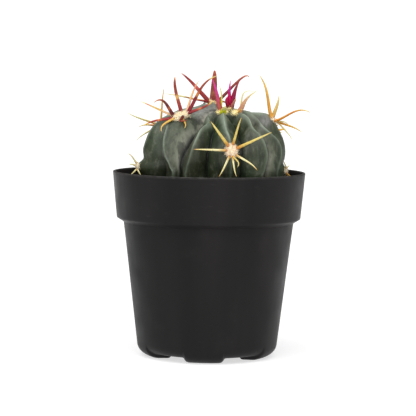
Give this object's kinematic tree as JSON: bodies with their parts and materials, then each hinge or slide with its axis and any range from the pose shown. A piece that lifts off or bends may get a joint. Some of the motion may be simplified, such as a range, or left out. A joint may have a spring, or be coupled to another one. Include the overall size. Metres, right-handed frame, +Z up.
{
  "type": "potted round cactus",
  "caption": "Squat ribbed globe cactus with felted areoles and bunches of red, straw and magenta hooked spines, in a collared black nursery pot on low feet.",
  "frame": {"origin": "the point on the ground under the pot's axis, midway between its feet", "axes": "+Z up along the pot's axis; -Y towards the side that carries the star of straw spines; +X to the right of that side"},
  "size_m": [0.065, 0.064, 0.0951],
  "materials": {
    "pot_plastic": "satin",
    "potting_mix": "matte",
    "cactus_skin": "satin",
    "spines_red": "satin",
    "spines_straw": "satin",
    "spines_gold": "satin",
    "spines_magenta": "satin",
    "areole_felt": "matte"
  },
  "bodies": {
    "root": {"pot": "pot_plastic", "soil": "potting_mix", "stem": "cactus_skin", "areole_star": "spines_straw", "areole_left_shoulder": "spines_red", "areole_left_rear": "spines_gold", "areole_crown_rear": "spines_red", "areole_crown_front": "spines_magenta", "areole_crown_right": "spines_red", "areole_crown_young": "spines_magenta", "areole_right_shoulder": "spines_gold", "areole_left_rim": "spines_straw", "areole_right_rim": "spines_gold", "areole_rib2_low": "spines_red", "areole_rib3_low": "spines_straw", "areole_rib4_low": "spines_gold", "areole_rib5_low": "spines_red", "areole_rib6_low": "spines_straw", "areole_rib8_middle": "spines_gold", "areole_rib8_low": "spines_red", "areole_rib9_upper": "spines_straw", "areole_rib9_middle": "spines_gold", "areole_rib10_middle": "spines_red", "areole_rib10_low": "spines_straw", "areole_rib11_upper": "spines_gold", "areole_rib11_middle": "spines_red", "areole_rib12_low": "spines_straw"}
  },
  "joints": []
}
